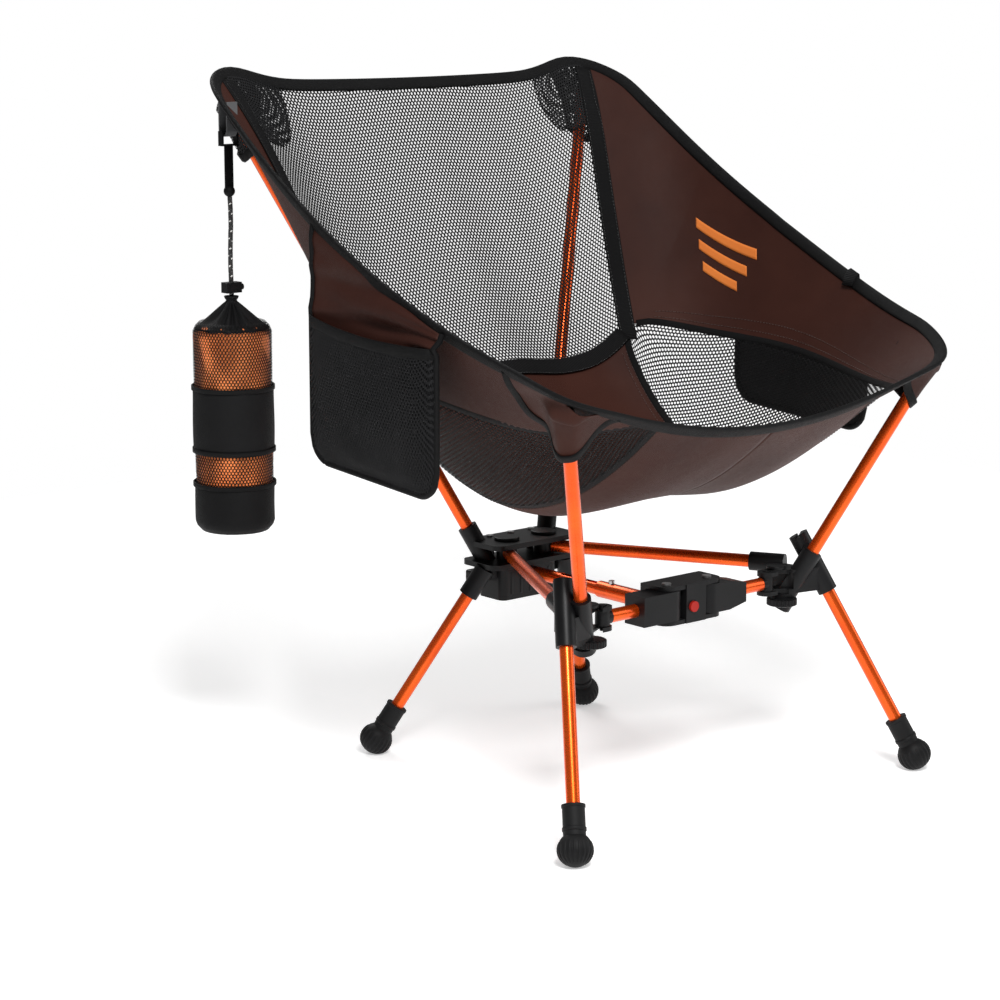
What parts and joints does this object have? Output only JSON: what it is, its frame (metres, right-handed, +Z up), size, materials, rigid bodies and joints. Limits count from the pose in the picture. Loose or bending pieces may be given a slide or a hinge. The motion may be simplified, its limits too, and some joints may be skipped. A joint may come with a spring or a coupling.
{
  "type": "folding camp chair",
  "caption": "Low ultralight camp chair: mesh and coated fabric sling on tubular poles over a folding strut base, with a hanging pillow pouch.",
  "frame": {"origin": "centre of the chair's outline on the floor", "axes": "+Z up, -Y towards the front of the seat, +X towards the sitter's left"},
  "size_m": [0.5742, 0.525, 0.6594],
  "materials": {
    "orange_anodised": "satin anodised",
    "black_plastic": "satin moulded nylon",
    "brown_fabric": "coated plain weave polyester",
    "black_mesh": "open knit mesh",
    "black_fabric": "coated plain weave polyester",
    "black_webbing": "flat woven webbing",
    "binding_tape": "grosgrain binding",
    "grey_webbing": "flat woven webbing",
    "pouch_net": "net over a rolled pillow",
    "pillow_fabric": "soft plain weave",
    "hanging_cord": "braided cord with a pale fleck",
    "shock_cord": "braided shock cord",
    "steel": "satin",
    "ferrule": "plain drawn tube",
    "red_plastic": "gloss"
  },
  "bodies": {
    "base": {"rear_hub_body": "black_plastic", "rear_hub_plate": "black_plastic", "rear_hub_screws": "steel", "arm_pivot_pins": "steel", "strut_inner_tube": "orange_anodised", "rear_pole_left": "orange_anodised", "rear_pole_right": "orange_anodised", "rear_pole_ferrules": "ferrule", "rear_pole_cords": "shock_cord", "rear_pole_tips": "black_plastic", "back_mesh": "black_mesh", "side_panel_left": "brown_fabric", "side_panel_right": "brown_fabric", "seat_panel": "brown_fabric", "seat_mesh_left": "black_mesh", "seat_mesh_right": "black_mesh", "webbing_bands": "black_webbing", "rim_binding": "binding_tape", "rear_pocket_left": "black_mesh", "rear_pocket_right": "black_mesh", "front_pocket_left": "black_fabric", "front_pocket_right": "black_fabric", "organiser_left": "black_mesh", "organiser_right": "black_mesh", "accessory_loop": "grey_webbing"},
    "arm_left": {"arm_tube_left": "orange_anodised", "arm_knuckle_left": "black_plastic", "front_hub_left": "black_plastic", "front_pole_left": "orange_anodised", "front_pole_tip_left": "black_plastic"},
    "arm_right": {"arm_tube_right": "orange_anodised", "arm_knuckle_right": "black_plastic", "front_hub_right": "black_plastic", "front_pole_right": "orange_anodised", "front_pole_tip_right": "black_plastic"},
    "leg_front_left": {"leg_tube_front_left": "orange_anodised", "foot_front_left": "black_plastic"},
    "leg_front_right": {"leg_tube_front_right": "orange_anodised", "foot_front_right": "black_plastic"},
    "leg_rear_left": {"leg_tube_rear_left": "orange_anodised", "foot_rear_left": "black_plastic"},
    "leg_rear_right": {"leg_tube_rear_right": "orange_anodised", "foot_rear_right": "black_plastic"},
    "strut": {"strut_outer_tube": "orange_anodised", "knee_bracket": "black_plastic", "knee_pins": "steel"},
    "crossbar_left": {"crossbar_tube_left": "orange_anodised", "knee_arm_left": "black_plastic", "crossbar_end_left": "black_plastic"},
    "crossbar_right": {"crossbar_tube_right": "orange_anodised", "knee_arm_right": "black_plastic", "crossbar_end_right": "black_plastic"},
    "lock_button": {"lock_button": "red_plastic"},
    "snap_button": {"snap_button": "steel"},
    "pouch": {"pouch_strap": "black_webbing", "pouch_cord": "hanging_cord", "cord_lock_body": "black_plastic", "pouch_bag": "pouch_net", "pillow": "pillow_fabric"},
    "cord_lock_plunger": {"cord_lock_button": "black_plastic"}
  },
  "joints": [
    {"name": "base_fold", "type": "hinge", "parent": "base", "child": "arm_left", "pos_m": [0.024, 0.078, 0.197], "axis": [0, 0, -1], "range_deg": [0, 17.8], "deforming": ["back_mesh", "side_panel_left", "side_panel_right", "seat_panel", "seat_mesh_left", "seat_mesh_right", "webbing_bands", "rim_binding", "rear_pocket_left", "rear_pocket_right", "front_pocket_left", "front_pocket_right", "organiser_left", "organiser_right"]},
    {"name": "arm_right_fold", "type": "hinge", "parent": "base", "child": "arm_right", "pos_m": [-0.024, 0.078, 0.197], "axis": [0, 0, 1], "range_deg": [0, 17.9]},
    {"name": "strut_slide", "type": "slide", "parent": "base", "child": "strut", "axis": [0, 1, 0], "range_m": [0, 0.0656]},
    {"name": "crossbar_left_turn", "type": "hinge", "parent": "strut", "child": "crossbar_left", "pos_m": [0.026, -0.148, 0.185], "axis": [0, 0, -1], "range_deg": [0, 85.2]},
    {"name": "crossbar_right_turn", "type": "hinge", "parent": "strut", "child": "crossbar_right", "pos_m": [-0.026, -0.148, 0.185], "axis": [0, 0, 1], "range_deg": [0, 85.2]},
    {"name": "front_leg_left_pull", "type": "slide", "parent": "arm_left", "child": "leg_front_left", "axis": [0.2882, -0.3878, -0.8755], "range_m": [0, 0.025], "stiffness_N_per_m": 150},
    {"name": "rear_leg_left_pull", "type": "slide", "parent": "base", "child": "leg_rear_left", "axis": [0.4281, 0.321, -0.8448], "range_m": [0, 0.025], "stiffness_N_per_m": 150},
    {"name": "front_leg_right_pull", "type": "slide", "parent": "arm_right", "child": "leg_front_right", "axis": [-0.2882, -0.3878, -0.8755], "range_m": [0, 0.025], "stiffness_N_per_m": 150},
    {"name": "rear_leg_right_pull", "type": "slide", "parent": "base", "child": "leg_rear_right", "axis": [-0.4281, 0.321, -0.8448], "range_m": [0, 0.025], "stiffness_N_per_m": 150},
    {"name": "lock_button_press", "type": "slide", "parent": "strut", "child": "lock_button", "axis": [0, 1, 0], "range_m": [0, 0.003], "stiffness_N_per_m": 300, "springref_m": -0.001},
    {"name": "snap_button_press", "type": "slide", "parent": "strut", "child": "snap_button", "axis": [0, 0, -1], "range_m": [0, 0.0015], "stiffness_N_per_m": 300, "springref_m": -0.001},
    {"name": "pouch_swing", "type": "hinge", "parent": "base", "child": "pouch", "pos_m": [-0.245, 0.222, 0.61], "axis": [1, 0, 0], "range_deg": [-15, 15]},
    {"name": "cord_lock_press", "type": "slide", "parent": "pouch", "child": "cord_lock_plunger", "axis": [-1, 0, 0], "range_m": [0, 0.003], "stiffness_N_per_m": 300, "springref_m": -0.001}
  ],
  "couplings": [
    {"joint": "arm_right_fold", "follows": "base_fold", "ratio": 1},
    {"joint": "strut_slide", "follows": "base_fold", "m_per_rad": 0.21062},
    {"joint": "crossbar_left_turn", "follows": "base_fold", "ratio": 4.7743},
    {"joint": "crossbar_right_turn", "follows": "base_fold", "ratio": 4.7743}
  ]
}
